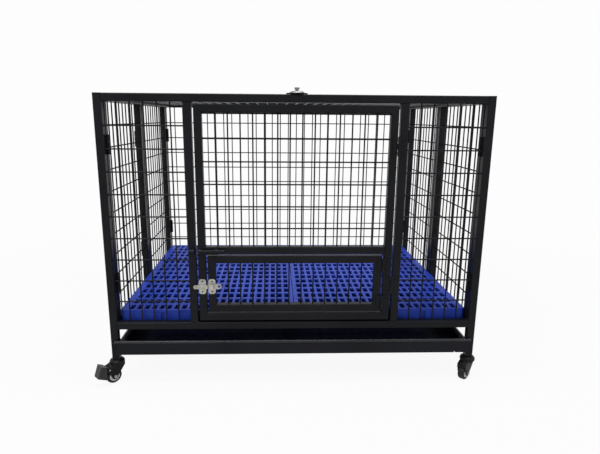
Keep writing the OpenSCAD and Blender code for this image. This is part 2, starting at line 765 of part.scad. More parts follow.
module caster_sockets() {
  color(black) for (sx = [-1, 1], sy = [-1, 1]) translate([sx * post_x, sy * post_y, 0]) difference() {
    union() {
      translate([0, 0, post_z]) linear_extrude(height = plug_h) polygon(round_box(plug_s, plug_s, plug_r));
      translate([0, 0, post_z - flange_t]) linear_extrude(height = flange_t)
        polygon(round_box(tube_s, tube_s, tube_r));
    }
    translate([0, 0, post_z - flange_t - over])
      cylinder(r = stem_d / 2 + stem_play, h = plug_h + flange_t + 2 * over);
  }
}

module caster_stems() {
  head_z = core_z - swivel_gap - stem_head_h;
  color(zinc) for (sx = [-1, 1], sy = [-1, 1]) translate([sx * post_x, sy * post_y, 0]) {
    translate([0, 0, head_z]) cylinder(d = stem_d, h = post_z + plug_h - head_z);
    translate([0, 0, head_z]) cylinder(d = stem_head_d, h = stem_head_h);
  }
}

// Side outline of the fork, along the trail and up
module fork_side(braked) {
  polygon([[core_share * dust_cap_d / 2, skirt_z + over], [core_share * dust_cap_d / 2, core_z],
    [-trail + boss_r, wheel_r], [-trail - boss_r, wheel_r], [-trail - 2 * boss_r, wheel_r + 2 * boss_r],
    [-trail - 2 * boss_r, core_z - swivel_gap], [-core_share * dust_cap_d / 2, skirt_z + over]]);
  translate([-trail, wheel_r]) circle(r = boss_r);
  if (braked) {
    translate([pedal_y, pedal_z]) circle(r = ear_r);
    polygon([[-trail, core_z], [-core_share * dust_cap_d / 2, skirt_z + over],
      [pedal_y - ear_r / 2, pedal_z + ear_r / 2], [pedal_y, pedal_z],
      [-trail - boss_r, wheel_r + 2 * boss_r]]);
  }
}

// Across the fork: +X is the axle
module across(p, l) translate([-l / 2, p[0], p[1]]) rotate([0, 90, 0]) linear_extrude(height = l) children();

module fork(braked) {
  inner_w = fork_w - 2 * cheek_t;
  cap_r = dust_cap_d / 2;
  crown = [for (k = [0 : corner_steps]) let (a = 90 * k / corner_steps)
    [cap_r * cap_crown_share + cap_r * (1 - cap_crown_share) * cos(a),
      cap_top - cap_crown_h + cap_crown_h * sin(a)]];
  color(black) difference() {
    union() {
      translate([-fork_w / 2, 0, 0]) rotate([90, 0, 90]) linear_extrude(height = fork_w) fork_side(braked);
      rotate_extrude() polygon(concat([[0, core_z], [core_share * cap_r, core_z],
        [core_share * cap_r, skirt_z], [cap_r, skirt_z]], crown, [[0, cap_top]]));
    }
    across([-trail, wheel_r], inner_w) circle(r = pocket_r);
    translate([-inner_w / 2, -trail - pocket_r, -over]) cube([inner_w, 2 * pocket_r, wheel_r + over]);
    across([-trail, wheel_r], fork_w + 2 * over) circle(r = axle_d / 2 + axle_play);
    translate([0, 0, wheel_r]) cylinder(d = stem_head_d + 2 * swivel_gap, h = core_z - wheel_r);
    translate([0, 0, core_z - over]) cylinder(r = stem_d / 2 + stem_play, h = cap_top - core_z + 2 * over);
    if (braked) {
      across([pedal_y, pedal_z], inner_w) circle(r = ear_r + pedal_gap);
      across([pedal_y, pedal_z], fork_w + 2 * over) circle(r = pedal_pin_d / 2 + axle_play);
    }
  }
}

// Axle with its rivet heads, and the brake's pivot pin beside it
module axle(braked) {
  color(zinc) {
    across([-trail, wheel_r], fork_w) circle(d = axle_d);
    for (s = [-1, 1]) translate([s * (fork_w + axle_head_h) / 2, 0, 0])
      across([-trail, wheel_r], axle_head_h) circle(d = axle_head_d);
    if (braked) across([pedal_y, pedal_z], fork_w + axle_head_h) circle(d = pedal_pin_d);
  }
}

// Hub with a dished middle, its ring a little proud of the tyre
module hub() {
  hub_w = wheel_w + 2 * ring_rise;
  color(grey) difference() {
    across([-trail, wheel_r], hub_w) circle(d = hub_d);
    across([-trail, wheel_r], hub_w + 2 * over) circle(r = axle_d / 2 + axle_play);
    for (s = [-1, 1]) translate([s * hub_w / 2, 0, 0]) across([-trail, wheel_r], 2 * hub_dish) difference() {
      circle(r = boss_r);
      circle(d = axle_head_d);
    }
  }
}

module tyre() {
  r0 = hub_d / 2 + tyre_gap;
  arc = [for (k = [0 : corner_steps]) let (a = 90 * k / corner_steps)
    [wheel_r - tyre_round + tyre_round * cos(a), wheel_w / 2 - tyre_round + tyre_round * sin(a)]];
  half = concat(arc, [[r0, wheel_w / 2]]);
  color(black) translate([0, -trail, wheel_r]) rotate([0, 90, 0]) rotate_extrude()
    polygon(concat(half, [for (k = [len(half) - 1 : -1 : 0]) [half[k][0], -half[k][1]]]));
}

// Side outline on the brake, given in wheel radii from the axle, drawn out to a width across the fork
module brake_side(shares, w) {
  translate([-w / 2, 0, 0]) rotate([90, 0, 90]) linear_extrude(height = w)
    polygon([for (p = shares) [-trail - wheel_r * p[0], wheel_r + wheel_r * p[1]]]);
}

// Pedal that rocks on the pivot pin between the fork's ears, and its hollow foot plate
module brake_pedal() {
  barrel_w = fork_w - 2 * cheek_t - 2 * pedal_gap;
  foot_w = barrel_w + pedal_wide;
  color(black) difference() {
    union() {
      across([pedal_y, pedal_z], barrel_w) circle(r = pedal_r);
      brake_side(arm_shares, barrel_w);
      difference() {
        brake_side(foot_shares, foot_w);
        brake_side(hollow_shares, foot_w - 2 * pedal_wall);
      }
    }
    across([pedal_y, pedal_z], barrel_w + 2 * over) circle(r = pedal_pin_d / 2 + axle_play);
  }
}

module fork_front_left() at_caster(-1, -1) fork(true);
module fork_front_right() at_caster(1, -1) fork(false);
module fork_back_left() at_caster(-1, 1) fork(false);
module fork_back_right() at_caster(1, 1) fork(true);
module axle_front_left() at_caster(-1, -1) axle(true);
module axle_front_right() at_caster(1, -1) axle(false);
module axle_back_left() at_caster(-1, 1) axle(false);
module axle_back_right() at_caster(1, 1) axle(true);
module hub_front_left() at_caster(-1, -1) hub();
module hub_front_right() at_caster(1, -1) hub();
module hub_back_left() at_caster(-1, 1) hub();
module hub_back_right() at_caster(1, 1) hub();
module tyre_front_left() at_caster(-1, -1) tyre();
module tyre_front_right() at_caster(1, -1) tyre();
module tyre_back_left() at_caster(-1, 1) tyre();
module tyre_back_right() at_caster(1, 1) tyre();
module brake_pedal_front() at_caster(-1, -1) brake_pedal();
module brake_pedal_rear() at_caster(1, 1) brake_pedal();

front_frame();
front_mesh();
back_frame();
back_mesh();
left_front_panel();
left_rear_panel();
right_front_panel();
right_rear_panel();
left_mesh();
right_mesh();
fold_hinge_leaves();
hinge_pins();
post_caps();
floor_supports();
tray_runners();
door_hinge_leaves();
lid_hinge_leaves();
door_keeper();
caster_sockets();
caster_stems();
door_frame();
door_mesh();
door_hinge_straps();
door_bolt_case();
feeder_latch_guide();
feeder_hinge_leaves();
feeder_hinge_pins();
feeder_frame();
feeder_mesh();
feeder_hinge_straps();
feeder_latch_keeper();
door_bolt();
feeder_bolt();
lid_frame();
lid_mesh();
lid_hinge_straps();
lid_tongue();
lid_dome();
lid_knob();
tray();
floor_tile_left();
floor_tile_right();
fork_front_left();
fork_front_right();
fork_back_left();
fork_back_right();
axle_front_left();
axle_front_right();
axle_back_left();
axle_back_right();
hub_front_left();
hub_front_right();
hub_back_left();
hub_back_right();
tyre_front_left();
tyre_front_right();
tyre_back_left();
tyre_back_right();
brake_pedal_front();
brake_pedal_rear();
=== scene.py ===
import bmesh
import bpy
import json
import math
from mathutils import Matrix, Vector

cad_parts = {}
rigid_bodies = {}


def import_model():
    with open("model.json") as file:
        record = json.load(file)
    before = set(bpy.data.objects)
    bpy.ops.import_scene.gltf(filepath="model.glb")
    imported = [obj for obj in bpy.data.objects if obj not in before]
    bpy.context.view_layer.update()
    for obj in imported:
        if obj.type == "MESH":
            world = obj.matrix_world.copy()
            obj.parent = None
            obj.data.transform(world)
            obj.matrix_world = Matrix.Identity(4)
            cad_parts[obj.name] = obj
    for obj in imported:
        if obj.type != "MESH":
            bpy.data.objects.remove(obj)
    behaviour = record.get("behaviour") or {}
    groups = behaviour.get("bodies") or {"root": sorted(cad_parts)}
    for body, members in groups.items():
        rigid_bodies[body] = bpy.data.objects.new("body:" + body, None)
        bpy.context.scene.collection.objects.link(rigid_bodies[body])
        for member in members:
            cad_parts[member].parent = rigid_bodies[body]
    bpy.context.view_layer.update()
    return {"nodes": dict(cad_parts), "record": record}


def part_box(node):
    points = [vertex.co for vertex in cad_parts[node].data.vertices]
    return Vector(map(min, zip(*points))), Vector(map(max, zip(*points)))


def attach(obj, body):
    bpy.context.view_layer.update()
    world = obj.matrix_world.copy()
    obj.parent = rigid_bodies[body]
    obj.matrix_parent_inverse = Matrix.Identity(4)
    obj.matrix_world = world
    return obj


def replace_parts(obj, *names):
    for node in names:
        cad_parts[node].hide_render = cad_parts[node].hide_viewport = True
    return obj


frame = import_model()
nodes = frame["nodes"]
scene = bpy.context.scene
scene.view_settings.view_transform = "Standard"
print("frame loaded,", len(nodes), "nodes")


# small helpers for material trees

def startMaterial(name):
    mat = bpy.data.materials.new(name)
    mat.use_nodes = True
    tree = mat.node_tree
    place = tree.nodes.new("ShaderNodeTexCoord").outputs["Object"]
    return mat, tree, tree.nodes["Principled BSDF"], place


def noiseOf(tree, place, scale, detail, stretch=None):
    if stretch:
        mapping = tree.nodes.new("ShaderNodeMapping")
        mapping.inputs["Scale"].default_value = stretch
        tree.links.new(place, mapping.inputs["Vector"])
        place = mapping.outputs["Vector"]
    noise = tree.nodes.new("ShaderNodeTexNoise")
    noise.inputs["Scale"].default_value = scale
    noise.inputs["Detail"].default_value = detail
    tree.links.new(place, noise.inputs["Vector"])
    return noise.outputs["Fac"]


def tintBy(tree, value, dark, light, low=0.3, high=0.7):
    ramp = tree.nodes.new("ShaderNodeValToRGB")
    ramp.color_ramp.elements[0].position = low
    ramp.color_ramp.elements[1].position = high
    ramp.color_ramp.elements[0].color = (*dark, 1)
    ramp.color_ramp.elements[1].color = (*light, 1)
    tree.links.new(value, ramp.inputs["Fac"])
    return ramp.outputs["Color"]


def spreadTo(tree, value, low, high, fromLow=0.25, fromHigh=0.75):
    spread = tree.nodes.new("ShaderNodeMapRange")
    spread.inputs["From Min"].default_value = fromLow
    spread.inputs["From Max"].default_value = fromHigh
    spread.inputs["To Min"].default_value = low
    spread.inputs["To Max"].default_value = high
    tree.links.new(value, spread.inputs["Value"])
    return spread.outputs["Result"]


def bumpFrom(tree, height, strength, distance):
    bump = tree.nodes.new("ShaderNodeBump")
    bump.inputs["Strength"].default_value = strength
    bump.inputs["Distance"].default_value = distance
    tree.links.new(height, bump.inputs["Height"])
    return bump.outputs["Normal"]


# satin powder coat of the tubes, wires, hinges and tray: orange peel and a little dust
# noises here and below are (scale, detail, stretch), bumps are (strength, depth)
coatLook = {
    "frameCoat": {"dark": (0.0054, 0.0057, 0.0074), "light": (0.0092, 0.0096, 0.0120),
                  "rough": (0.28, 0.40), "shine": 0.10},
    "trayCoat": {"dark": (0.0044, 0.0049, 0.0076), "light": (0.0080, 0.0086, 0.0122),
                 "rough": (0.16, 0.26), "shine": 0.12},
    # the rim's coat is lighter than the tray's: a painted highlight along the rolled rim
    "rimCoat": {"dark": (0.0105, 0.0110, 0.0135), "light": (0.0240, 0.0245, 0.0290),
                "rough": (0.20, 0.32), "shine": 0.20},
}
coatGrain = {"cloud": (9.0, 4.0), "peel": (620.0, 2.0), "dust": (60.0, 5.0), "bump": (0.12, 0.0004)}


def coatFinish(name, look):
    mat, tree, shader, place = startMaterial(name)
    cloud, peel, dust = (noiseOf(tree, place, *coatGrain[k]) for k in ("cloud", "peel", "dust"))
    tree.links.new(tintBy(tree, cloud, look["dark"], look["light"]), shader.inputs["Base Color"])
    tree.links.new(spreadTo(tree, dust, *look["rough"]), shader.inputs["Roughness"])
    tree.links.new(bumpFrom(tree, peel, *coatGrain["bump"]), shader.inputs["Normal"])
    shader.inputs["Specular IOR Level"].default_value = look["shine"]
    return mat


# plated steel: bright on the latch and stems, greyer on the axles, dull on the lid's knob and dome
zincLook = {
    "zincPlate": {"dark": (0.29, 0.285, 0.25), "light": (0.50, 0.495, 0.44), "rough": (0.26, 0.42)},
    "dullPlate": {"dark": (0.15, 0.15, 0.145), "light": (0.24, 0.24, 0.23), "rough": (0.32, 0.48)},
    "axlePlate": {"dark": (0.22, 0.22, 0.225), "light": (0.34, 0.34, 0.345), "rough": (0.30, 0.44)},
}
zincGrain = {"cloud": (110.0, 4.0), "scratch": (900.0, 2.0, (1.0, 1.0, 0.08)), "bump": (0.06, 0.0002)}


def zincFinish(name, look):
    mat, tree, shader, place = startMaterial(name)
    cloud, scratch = (noiseOf(tree, place, *zincGrain[k]) for k in ("cloud", "scratch"))
    tree.links.new(tintBy(tree, cloud, look["dark"], look["light"]), shader.inputs["Base Color"])
    tree.links.new(spreadTo(tree, scratch, *look["rough"]), shader.inputs["Roughness"])
    tree.links.new(bumpFrom(tree, scratch, *zincGrain["bump"]), shader.inputs["Normal"])
    shader.inputs["Metallic"].default_value = 1.0
    return mat


# moulded plastics and the tread: flow marks, fine grain and scuffs
mouldLook = {
    "floorBlue": {"dark": (0.012, 0.035, 0.285), "light": (0.020, 0.051, 0.375),
                  "rough": (0.32, 0.46), "grain": 500.0, "shine": 0.12},
    "casterBlack": {"dark": (0.0036, 0.0036, 0.0044), "light": (0.0072, 0.0072, 0.0084),
                    "rough": (0.36, 0.50), "grain": 800.0, "shine": 0.12},
    # the pedals' black is lighter than the casters' black plastic: painted light on the pedals' sides
    "pedalBlack": {"dark": (0.0150, 0.0150, 0.0160), "light": (0.0250, 0.0250, 0.0265),
                   "rough": (0.38, 0.52), "grain": 800.0, "shine": 0.25},
    "hubGrey": {"dark": (0.42, 0.42, 0.43), "light": (0.54, 0.54, 0.55),
                "rough": (0.35, 0.48), "grain": 800.0, "shine": 0.45},
    "treadBlack": {"dark": (0.0070, 0.0070, 0.0080), "light": (0.0130, 0.0130, 0.0140),
                   "rough": (0.42, 0.58), "grain": 650.0, "shine": 0.20},
}
mouldGrain = {"flow": (14.0, 3.0, (1.0, 0.35, 1.0)), "grainDetail": 3.0, "scuff": (75.0, 5.0),
              "bump": (0.10, 0.0003)}


def mouldFinish(name, look):
    mat, tree, shader, place = startMaterial(name)
    flow = noiseOf(tree, place, *mouldGrain["flow"])
    grain = noiseOf(tree, place, look["grain"], mouldGrain["grainDetail"])
    scuff = noiseOf(tree, place, *mouldGrain["scuff"])
    tree.links.new(tintBy(tree, flow, look["dark"], look["light"]), shader.inputs["Base Color"])
    tree.links.new(spreadTo(tree, scuff, *look["rough"]), shader.inputs["Roughness"])
    tree.links.new(bumpFrom(tree, grain, *mouldGrain["bump"]), shader.inputs["Normal"])
    shader.inputs["Specular IOR Level"].default_value = look["shine"]
    return mat


finishes = {
    "powder_black": coatFinish("frameCoat", coatLook["frameCoat"]),
    "tray_black": coatFinish("trayCoat", coatLook["trayCoat"]),
    "zinc": zincFinish("zincPlate", zincLook["zincPlate"]),
    "dull_zinc": zincFinish("dullPlate", zincLook["dullPlate"]),
    "blue_plastic": mouldFinish("floorBlue", mouldLook["floorBlue"]),
    "black_plastic": mouldFinish("casterBlack", mouldLook["casterBlack"]),
    "grey_plastic": mouldFinish("hubGrey", mouldLook["hubGrey"]),
    "black_rubber": mouldFinish("treadBlack", mouldLook["treadBlack"]),
}
# the tray rim's own coat, lighter than the tray's for a painted highlight
rimHighlightFinish = coatFinish("rimCoat", coatLook["rimCoat"])
# nodes whose names start so have a finish of their own in place of their slot's; the pedals' lighter
# black is painted light
ownFinishes = {"brake_pedal": mouldFinish("pedalBlack", mouldLook["pedalBlack"]),
               "axle": zincFinish("axlePlate", zincLook["axlePlate"])}
for part in frame["record"]["subparts"]:
    own = [finish for start, finish in ownFinishes.items() if part["node"].startswith(start)]
    mesh = nodes[part["node"]].data
    mesh.materials.clear()
    mesh.materials.append(own[0] if own else finishes[part["material_slot"]])
print("finishes set:", len(finishes))


# geometry trees: named sizes in, a realized and finished mesh out

def startTree(name, sizes):
    tree = bpy.data.node_groups.new(name, "GeometryNodeTree")
    tree.interface.new_socket("Geometry", in_out="INPUT", socket_type="NodeSocketGeometry")
    for label, value in sizes.items():
        kind = "NodeSocketInt" if isinstance(value, int) else "NodeSocketFloat"
        tree.interface.new_socket(label, in_out="INPUT", socket_type=kind).default_value = value
    tree.interface.new_socket("Geometry", in_out="OUTPUT", socket_type="NodeSocketGeometry")
    return tree, tree.nodes.new("NodeGroupInput"), tree.nodes.new("NodeGroupOutput")


def endTree(tree, end, geometry, finish, smooth=True, weld=0.0):
    realize = tree.nodes.new("GeometryNodeRealizeInstances")
    shade = tree.nodes.new("GeometryNodeSetShadeSmooth")
    paint = tree.nodes.new("GeometryNodeSetMaterial")
    shade.inputs["Shade Smooth"].default_value = smooth
    paint.inputs["Material"].default_value = finish
    tree.links.new(geometry, realize.inputs["Geometry"])
    whole = realize.outputs["Geometry"]
    if weld:
        merge = tree.nodes.new("GeometryNodeMergeByDistance")
        merge.inputs["Distance"].default_value = weld
        tree.links.new(whole, merge.inputs["Geometry"])
        whole = merge.outputs["Geometry"]
    tree.links.new(whole, shade.inputs["Geometry"])
    tree.links.new(shade.outputs["Geometry"], paint.inputs["Geometry"])
    tree.links.new(paint.outputs["Geometry"], end.inputs["Geometry"])


def runTree(name, tree, sizes, carrierMesh):
    carrier = bpy.data.objects.new(name + "Carrier", carrierMesh)
    scene.collection.objects.link(carrier)
    modifier = carrier.modifiers.new("make", "NODES")
    modifier.node_group = tree
    for item in tree.interface.items_tree:
        if item.in_out == "INPUT" and item.name in sizes:
            modifier[item.identifier] = sizes[item.name]
    graph = bpy.context.evaluated_depsgraph_get()
    made = bpy.data.meshes.new_from_object(carrier.evaluated_get(graph), depsgraph=graph)
    carrier.modifiers.remove(modifier)
    bpy.data.objects.remove(carrier)
    return made


def addPiece(name, mesh, body):
    mesh.name = name
    piece = bpy.data.objects.new(name, mesh)
    scene.collection.objects.link(piece)
    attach(piece, body)
    return piece


def pointMesh(name, points, facings=None):
    mesh = bpy.data.meshes.new(name)
    mesh.from_pydata([tuple(p) for p in points], [], [])
    if facings:
        layer = mesh.attributes.new("facing", "FLOAT_VECTOR", "POINT")
        for item, facing in zip(layer.data, facings):
            item.vector = facing
    return mesh


def boxOf(node):
    return [Vector(corner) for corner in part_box(node)]


# main places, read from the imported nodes
crate = {"tube": 0.019, "doorway": 0.492, "foldGap": 0.002}
xAxis, yAxis, zAxis = Vector((1, 0, 0)), Vector((0, 1, 0)), Vector((0, 0, 1))
frontLow, frontHigh = boxOf("front_frame")
panelLow, panelHigh = boxOf("left_front_panel")
tube = crate["tube"]
halfWide, halfDeep = frontHigh.x, -frontLow.y
insideWide, insideDeep = halfWide - tube, halfDeep - tube
postX, postY = halfWide - tube / 2, halfDeep - tube / 2
railLow, topHigh = panelLow.z, panelHigh.z
openLow, openHigh = railLow + tube, topHigh - tube
seamHalf = tube + crate["foldGap"] / 2

# wire fields: where wires end on the tubes and cross each other
wire = {"pitch": 0.030, "rowPitch": 0.0545, "rowDrop": 0.060, "layer": 0.0018, "thick": 0.0035,
        "endSpot": 0.0024, "crossSpot": 0.0013, "spotSegments": 8, "spotRings": 4,
        "spread": (0.85, 1.12), "seed": 7}


def evenPlaces(length, pitch):
    count = max(1, round(length / pitch))
    return [length * k / count for k in range(1, count)]


def doorRows(height):
    rows = [height - wire["thick"] / 2]
    z = height - wire["rowDrop"]
    while z >= wire["rowPitch"] / 2:
        rows.append(z)
        z -= wire["rowPitch"]
    return rows


def wireFields():
    fields = []

    def add(body, low, high, out, rows=None):
        across = yAxis if abs(out.x) > 0.5 else xAxis
        up = yAxis if abs(out.z) > 0.5 else zAxis
        span = high - low
        width, height = span.dot(across), span.dot(up)
        middle = (low + high) / 2
        corner = middle - across * width / 2 - up * height / 2
        rows = evenPlaces(height, wire["rowPitch"]) if rows is None else rows
        fields.append({"body": body, "corner": corner, "across": across, "up": up, "out": out,
                       "width": width, "height": height, "rows": rows})
    low, high = boxOf("front_mesh")
    beside = insideWide - crate["doorway"] / 2 - tube
    add("crate", low, Vector((low.x + beside, high.y, high.z)), -yAxis)
    add("crate", Vector((high.x - beside, low.y, low.z)), high, -yAxis)
    add("crate", *boxOf("back_mesh"), yAxis)
    for node, out in (("left_mesh", -xAxis), ("right_mesh", xAxis)):
        low, high = boxOf(node)
        add("crate", low, Vector((high.x, -seamHalf, high.z)), out)
        add("crate", Vector((low.x, seamHalf, low.z)), high, out)
    low, high = boxOf("door_mesh")
    add("door", low, high, -yAxis, doorRows(high.z - low.z))
    inset = Vector((tube, 0, tube))
    low, high = boxOf("feeder_frame")
    add("feeder", low + inset, high - inset, -yAxis, [])
    add("lid", *boxOf("lid_mesh"), zAxis)
    return fields


def scatterBalls(tree, start, points, sizeName, spread):
    # a small ball on each point, a little larger or smaller by the tree's seed
    ball = tree.nodes.new("GeometryNodeMeshUVSphere")
    ball.inputs["Segments"].default_value = wire["spotSegments"]
    ball.inputs["Rings"].default_value = wire["spotRings"]
    vary = tree.nodes.new("FunctionNodeRandomValue")
    vary.data_type = "FLOAT_VECTOR"
    for socket, share in zip(vary.inputs, spread):
        socket.default_value = (share, share, share)
    place = tree.nodes.new("GeometryNodeInstanceOnPoints")
    tree.links.new(start.outputs[sizeName], ball.inputs["Radius"])
    tree.links.new(start.outputs["Seed"], vary.inputs["Seed"])
    tree.links.new(points, place.inputs["Points"])
    tree.links.new(ball.outputs["Mesh"], place.inputs["Instance"])
    tree.links.new(vary.outputs[0], place.inputs["Scale"])
    return place.outputs["Instances"]


def weldSpots():
    tree, start, end = startTree("weldSpots", {"Size": wire["endSpot"], "Seed": wire["seed"]})
    balls = scatterBalls(tree, start, start.outputs["Geometry"], "Size", wire["spread"])
    endTree(tree, end, balls, finishes["powder_black"])
    ends, crossings = {}, {}
    for field in wireFields():
        corner, across, up, out = (field[k] for k in ("corner", "across", "up", "out"))
        inner, outer = corner - out * wire["layer"], corner + out * wire["layer"]
        columns = evenPlaces(field["width"], wire["pitch"])
        atEnds = ends.setdefault(field["body"], [])
        for u in columns:
            atEnds += [inner + across * u, inner + across * u + up * field["height"]]
        for v in field["rows"]:
            atEnds += [outer + up * v, outer + up * v + across * field["width"]]
        crossings.setdefault(field["body"], []).extend(
            corner + across * u + up * v for u in columns for v in field["rows"])
    for label, size, seed, spots in (("WireEnds", wire["endSpot"], wire["seed"], ends),
                                     ("WireCrossings", wire["crossSpot"], wire["seed"] + 1, crossings)):
        for body, points in spots.items():
            if points:
                carrier = pointMesh("spots", points)
                made = runTree(body + label, tree, {"Size": size, "Seed": seed}, carrier)
                addPiece(body + label, made, body)


# fillet beads in the inside corners where tubes meet
bead = {"radius": 0.0017, "spacing": 0.0021, "run": 0.014, "spread": (0.85, 1.15), "seed": 11}


def tubeBeads():
    sizes = {"Radius": bead["radius"], "Spacing": bead["spacing"], "Seed": bead["seed"]}
    tree, start, end = startTree("tubeBeads", sizes)
    path = tree.nodes.new("GeometryNodeMeshToCurve")
    even = tree.nodes.new("GeometryNodeResampleCurve")
    even.mode = "LENGTH"
    tree.links.new(start.outputs["Geometry"], path.inputs["Mesh"])
    tree.links.new(path.outputs["Curve"], even.inputs["Curve"])
    tree.links.new(start.outputs["Spacing"], even.inputs["Length"])
    balls = scatterBalls(tree, start, even.outputs["Curve"], "Radius", bead["spread"])
    endTree(tree, end, balls, finishes["powder_black"])
    half = bead["run"] / 2
    runs = {"crate": [], "door": []}

    def add(body, at, along):
        runs[body] += [Vector(at) - along * half, Vector(at) + along * half]
    for x in (-insideWide, insideWide):
        for y in (-postY, postY):
            for z in (railLow, openLow, openHigh):
                add("crate", (x, y, z), yAxis)
    jamb = crate["doorway"] / 2
    for x in (-jamb - tube, -jamb, jamb, jamb + tube):
        for z in (openLow, openHigh):
            add("crate", (x, -postY, z), yAxis)
    panelEnd = insideDeep + crate["foldGap"] - tube
    for x in (-postX, postX):
        for y in (-panelEnd, -seamHalf, seamHalf, panelEnd):
            for z in (openLow, openHigh):
                add("crate", (x, y, z), xAxis)
    doorLow, doorHigh = boxOf("door_mesh")
    for x in (doorLow.x, doorHigh.x):
        for z in (doorLow.z - tube, doorLow.z):
            add("door", (x, -postY, z), yAxis)
    for body, points in runs.items():
        mesh = bpy.data.meshes.new("beadRuns")
        mesh.from_pydata([tuple(p) for p in points], [(k, k + 1) for k in range(0, len(points), 2)], [])
        name = body + "TubeBeads"
        addPiece(name, runTree(name, tree, sizes, mesh), body)


# pan head screws with a cross recess on the hinge leaves and the bolt's case
# rings are (radius, height) as shares of the size, hinges are (leaf's length, screws' spread)
screw = {"rings": [(1.0, -0.05), (1.0, 0.18), (0.86, 0.40), (0.55, 0.54), (0.28, 0.58)],
         "segments": 16, "crossArms": 4, "crossReach": 0.6, "recess": 0.34, "size": 0.0024,
         "foldSize": 0.0019, "seed": 5, "leafThick": 0.002, "edge": 0.005, "foldEdge": 0.0068,
         "foldInset": 0.100, "hinge": (0.046, 0.0145), "feederHinge": (0.036, 0.0115),
         "caseEdge": 0.0028, "caseShares": (0.36, 0.64)}


def ringBands(rings, segments):
    # points in rings about Z from the base up, the bands between them and the base
    turns = [2 * math.pi * k / segments for k in range(segments)]
    verts = [(r * math.cos(a), r * math.sin(a), h) for r, h in rings for a in turns]
    faces = [tuple(reversed(range(segments)))]
    for first in range(0, len(verts) - segments, segments):
        for k in range(segments):
            n = (k + 1) % segments
            faces.append((first + k, first + n, first + segments + n, first + segments + k))
    return verts, faces


def screwHead():
    rings, count = screw["rings"], screw["segments"]
    verts, faces = ringBands(rings, count)
    for k in range(0, len(verts), count // screw["crossArms"]):
        x, y, z = verts[k]
        if rings[k // count][0] < screw["crossReach"]:
            verts[k] = (x, y, z - screw["recess"])
    last, middle = len(verts) - count, len(verts)
    verts.append((0, 0, rings[-1][1] - screw["recess"]))
    faces += [(last + k, last + (k + 1) % count, middle) for k in range(count)]
    mesh = bpy.data.meshes.new("screwHead")
    mesh.from_pydata(verts, [], faces)
    return mesh


def screwSets():
    sets = {}

    def add(label, body, at, facing):
        sets.setdefault((label, body), []).append((Vector(at), facing))

    def leafScrews(label, body, node, side, hingeLong, spread):
        # two screws on each of a node's two upright leaves
        low, high = boxOf(node)
        x = high.x - screw["edge"] if side > 0 else low.x + screw["edge"]
        for z in (low.z + hingeLong / 2, high.z - hingeLong / 2):
            for step in (-spread, spread):
                add(label, body, (x, high.y - screw["leafThick"], z + step), -yAxis)
    leafScrews("crateHingeScrews", "crate", "door_hinge_leaves", 1, *screw["hinge"])
    leafScrews("doorHingeScrews", "door", "door_hinge_straps", -1, *screw["hinge"])
    leafScrews("doorHingeScrews", "door", "feeder_hinge_leaves", 1, *screw["feederHinge"])
    leafScrews("feederHingeScrews", "feeder", "feeder_hinge_straps", -1, *screw["feederHinge"])
    hingeLong, spread = screw["hinge"]
    for label, body, node, side in (("crateHingeScrews", "crate", "lid_hinge_leaves", 1),
                                    ("lidHingeScrews", "lid", "lid_hinge_straps", -1)):
        low, high = boxOf(node)
        y = high.y - screw["edge"] if side > 0 else low.y + screw["edge"]
        for x in (low.x + hingeLong / 2, high.x - hingeLong / 2):
            for step in (-spread, spread):
                add(label, body, (x + step, y, low.z + screw["leafThick"]), zAxis)
    low, high = boxOf("door_bolt_case")
    for share in screw["caseShares"]:
        for z in (low.z + screw["caseEdge"], high.z - screw["caseEdge"]):
            at = (low.x + (high.x - low.x) * share, high.y - screw["leafThick"], z)
            add("doorHingeScrews", "door", at, -yAxis)
    low, high = boxOf("door_keeper")
    at = ((low.x + high.x) / 2, high.y - screw["leafThick"], high.z - screw["caseEdge"])
    add("crateHingeScrews", "crate", at, -yAxis)
    for z in (openLow + screw["foldInset"], openHigh - screw["foldInset"]):
        for rise in (-spread, spread):
            for side in (-1, 1):
                for step in (-screw["foldEdge"], screw["foldEdge"]):
                    outer = (side * (halfWide + screw["leafThick"]), step, z + rise)
                    add("crateFoldScrews", "crate", outer, xAxis * side)
                    for y in (-insideDeep + crate["foldGap"] / 2, insideDeep - crate["foldGap"] / 2):
                        inner = (side * (insideWide - screw["leafThick"]), y + step, z + rise)
                        add("crateFoldScrews", "crate", inner, xAxis * -side)
    return sets


def facedPattern(name, shape, finish, sizes, smooth):
    # a shape on each point, standing along the point's facing and turned at random about it
    tree, start, end = startTree(name, sizes)
    pattern = tree.nodes.new("GeometryNodeObjectInfo")
    pattern.inputs["Object"].default_value = shape
    facing = tree.nodes.new("GeometryNodeInputNamedAttribute")
    facing.data_type = "FLOAT_VECTOR"
    facing.inputs["Name"].default_value = "facing"
    stand = tree.nodes.new("FunctionNodeAlignRotationToVector")
    stand.axis = "Z"
    spin = tree.nodes.new("FunctionNodeRandomValue")
    turn = tree.nodes.new("FunctionNodeAxisAngleToRotation")
    join = tree.nodes.new("FunctionNodeRotateRotation")
    join.rotation_space = "LOCAL"
    spin.inputs[3].default_value = math.pi  # the largest turn
    place = tree.nodes.new("GeometryNodeInstanceOnPoints")
    tree.links.new(facing.outputs["Attribute"], stand.inputs["Vector"])
    tree.links.new(start.outputs["Seed"], spin.inputs["Seed"])
    tree.links.new(spin.outputs[1], turn.inputs["Angle"])
    tree.links.new(stand.outputs["Rotation"], join.inputs["Rotation"])
    tree.links.new(turn.outputs["Rotation"], join.inputs["Rotate By"])
    tree.links.new(start.outputs["Geometry"], place.inputs["Points"])
    tree.links.new(pattern.outputs["Geometry"], place.inputs["Instance"])
    tree.links.new(join.outputs["Rotation"], place.inputs["Rotation"])
    tree.links.new(start.outputs["Size"], place.inputs["Scale"])
    endTree(tree, end, place.outputs["Instances"], finish, smooth=smooth)
    return tree


